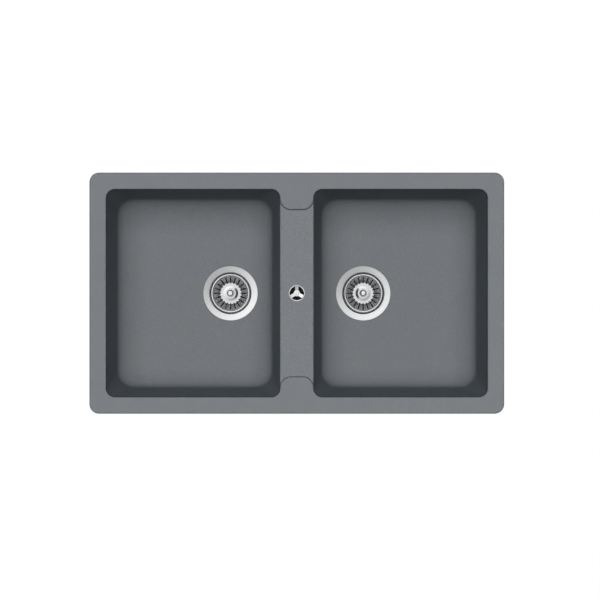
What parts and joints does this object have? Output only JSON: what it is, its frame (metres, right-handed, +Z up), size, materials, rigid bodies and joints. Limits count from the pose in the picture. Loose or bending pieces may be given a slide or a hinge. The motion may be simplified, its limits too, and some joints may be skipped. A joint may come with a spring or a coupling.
{
  "type": "double bowl kitchen sink",
  "caption": "Inset granite composite kitchen sink with two deep bowls, a lowered bridge with overflow, lift-out basket strainers, connecting pipework and worktop clamps.",
  "frame": {"origin": "centre of the worktop cut-out, on the worktop's top surface, where the underside of the rim rests", "axes": "+X along the long side to the right, +Y to the back (the top of the picture), +Z up"},
  "size_m": [0.86, 0.5, 0.378],
  "materials": {
    "granite_composite": "satin",
    "grey_foam": "matte",
    "polished_steel": "satin",
    "chrome": "polished",
    "black_rubber": "matte",
    "white_plastic": "satin",
    "black_plastic": "satin",
    "zinc_plated_steel": "satin"
  },
  "bodies": {
    "sink": {"sink_body": "granite_composite", "rim_seal": "grey_foam", "left_waste_flange": "polished_steel", "left_flange_seal": "black_rubber", "left_lower_gasket": "black_rubber", "left_waste_body": "white_plastic", "left_centre_screw": "polished_steel", "left_union_nut": "white_plastic", "left_outlet_washer": "black_rubber", "left_elbow": "white_plastic", "right_waste_flange": "polished_steel", "right_flange_seal": "black_rubber", "right_lower_gasket": "black_rubber", "right_waste_body": "white_plastic", "right_centre_screw": "polished_steel", "right_union_nut": "white_plastic", "right_outlet_washer": "black_rubber", "right_elbow": "white_plastic", "spigot_cap": "white_plastic", "tee": "white_plastic", "left_tee_washer": "black_rubber", "left_tee_nut": "white_plastic", "right_tee_washer": "black_rubber", "right_tee_nut": "white_plastic", "overflow_rosette": "chrome", "overflow_screw": "chrome", "overflow_gasket": "black_rubber", "overflow_chamber": "black_plastic", "overflow_hose": "white_plastic", "hose_clip_top": "zinc_plated_steel", "hose_clip_bottom": "zinc_plated_steel", "clamp_brackets": "zinc_plated_steel", "bracket_screws": "zinc_plated_steel"},
    "left_strainer": {"left_basket": "polished_steel", "left_basket_knob": "chrome", "left_basket_plug": "black_rubber", "left_basket_nut": "polished_steel"},
    "right_strainer": {"right_basket": "polished_steel", "right_basket_knob": "chrome", "right_basket_plug": "black_rubber", "right_basket_nut": "polished_steel"},
    "claw_1": {"clamp_claw_1": "zinc_plated_steel"},
    "screw_1": {"clamp_screw_1": "zinc_plated_steel"},
    "claw_2": {"clamp_claw_2": "zinc_plated_steel"},
    "screw_2": {"clamp_screw_2": "zinc_plated_steel"},
    "claw_3": {"clamp_claw_3": "zinc_plated_steel"},
    "screw_3": {"clamp_screw_3": "zinc_plated_steel"},
    "claw_4": {"clamp_claw_4": "zinc_plated_steel"},
    "screw_4": {"clamp_screw_4": "zinc_plated_steel"},
    "claw_5": {"clamp_claw_5": "zinc_plated_steel"},
    "screw_5": {"clamp_screw_5": "zinc_plated_steel"},
    "claw_6": {"clamp_claw_6": "zinc_plated_steel"},
    "screw_6": {"clamp_screw_6": "zinc_plated_steel"},
    "claw_7": {"clamp_claw_7": "zinc_plated_steel"},
    "screw_7": {"clamp_screw_7": "zinc_plated_steel"},
    "claw_8": {"clamp_claw_8": "zinc_plated_steel"},
    "screw_8": {"clamp_screw_8": "zinc_plated_steel"}
  },
  "joints": [
    {"name": "left_strainer_lift", "type": "slide", "parent": "sink", "child": "left_strainer", "axis": [0, 0, 1], "range_m": [0, 0.26]},
    {"name": "right_strainer_lift", "type": "slide", "parent": "sink", "child": "right_strainer", "axis": [0, 0, 1], "range_m": [0, 0.26]},
    {"name": "claw_1_travel", "type": "slide", "parent": "sink", "child": "claw_1", "axis": [0, 0, 1], "range_m": [0, 0.02]},
    {"name": "screw_1_turn", "type": "hinge", "parent": "claw_1", "child": "screw_1", "pos_m": [-0.3, 0.2325, -0.0575], "axis": [0, 0, 1], "range_deg": [0, 7200]},
    {"name": "claw_2_travel", "type": "slide", "parent": "sink", "child": "claw_2", "axis": [0, 0, 1], "range_m": [0, 0.02]},
    {"name": "screw_2_turn", "type": "hinge", "parent": "claw_2", "child": "screw_2", "pos_m": [0, 0.2325, -0.0575], "axis": [0, 0, 1], "range_deg": [0, 7200]},
    {"name": "claw_3_travel", "type": "slide", "parent": "sink", "child": "claw_3", "axis": [0, 0, 1], "range_m": [0, 0.02]},
    {"name": "screw_3_turn", "type": "hinge", "parent": "claw_3", "child": "screw_3", "pos_m": [0.3, 0.2325, -0.0575], "axis": [0, 0, 1], "range_deg": [0, 7200]},
    {"name": "claw_4_travel", "type": "slide", "parent": "sink", "child": "claw_4", "axis": [0, 0, 1], "range_m": [0, 0.02]},
    {"name": "screw_4_turn", "type": "hinge", "parent": "claw_4", "child": "screw_4", "pos_m": [0.3, -0.2325, -0.0575], "axis": [0, 0, 1], "range_deg": [0, 7200]},
    {"name": "claw_5_travel", "type": "slide", "parent": "sink", "child": "claw_5", "axis": [0, 0, 1], "range_m": [0, 0.02]},
    {"name": "screw_5_turn", "type": "hinge", "parent": "claw_5", "child": "screw_5", "pos_m": [0, -0.2325, -0.0575], "axis": [0, 0, 1], "range_deg": [0, 7200]},
    {"name": "claw_6_travel", "type": "slide", "parent": "sink", "child": "claw_6", "axis": [0, 0, 1], "range_m": [0, 0.02]},
    {"name": "screw_6_turn", "type": "hinge", "parent": "claw_6", "child": "screw_6", "pos_m": [-0.3, -0.2325, -0.0575], "axis": [0, 0, 1], "range_deg": [0, 7200]},
    {"name": "claw_7_travel", "type": "slide", "parent": "sink", "child": "claw_7", "axis": [0, 0, 1], "range_m": [0, 0.02]},
    {"name": "screw_7_turn", "type": "hinge", "parent": "claw_7", "child": "screw_7", "pos_m": [0.4125, 0, -0.0575], "axis": [0, 0, 1], "range_deg": [0, 7200]},
    {"name": "claw_8_travel", "type": "slide", "parent": "sink", "child": "claw_8", "axis": [0, 0, 1], "range_m": [0, 0.02]},
    {"name": "screw_8_turn", "type": "hinge", "parent": "claw_8", "child": "screw_8", "pos_m": [-0.4125, 0, -0.0575], "axis": [0, 0, 1], "range_deg": [0, 7200]}
  ],
  "couplings": [
    {"joint": "screw_1_turn", "follows": "claw_1_travel", "rad_per_m": 6283.2},
    {"joint": "screw_2_turn", "follows": "claw_2_travel", "rad_per_m": 6283.2},
    {"joint": "screw_3_turn", "follows": "claw_3_travel", "rad_per_m": 6283.2},
    {"joint": "screw_4_turn", "follows": "claw_4_travel", "rad_per_m": 6283.2},
    {"joint": "screw_5_turn", "follows": "claw_5_travel", "rad_per_m": 6283.2},
    {"joint": "screw_6_turn", "follows": "claw_6_travel", "rad_per_m": 6283.2},
    {"joint": "screw_7_turn", "follows": "claw_7_travel", "rad_per_m": 6283.2},
    {"joint": "screw_8_turn", "follows": "claw_8_travel", "rad_per_m": 6283.2}
  ]
}
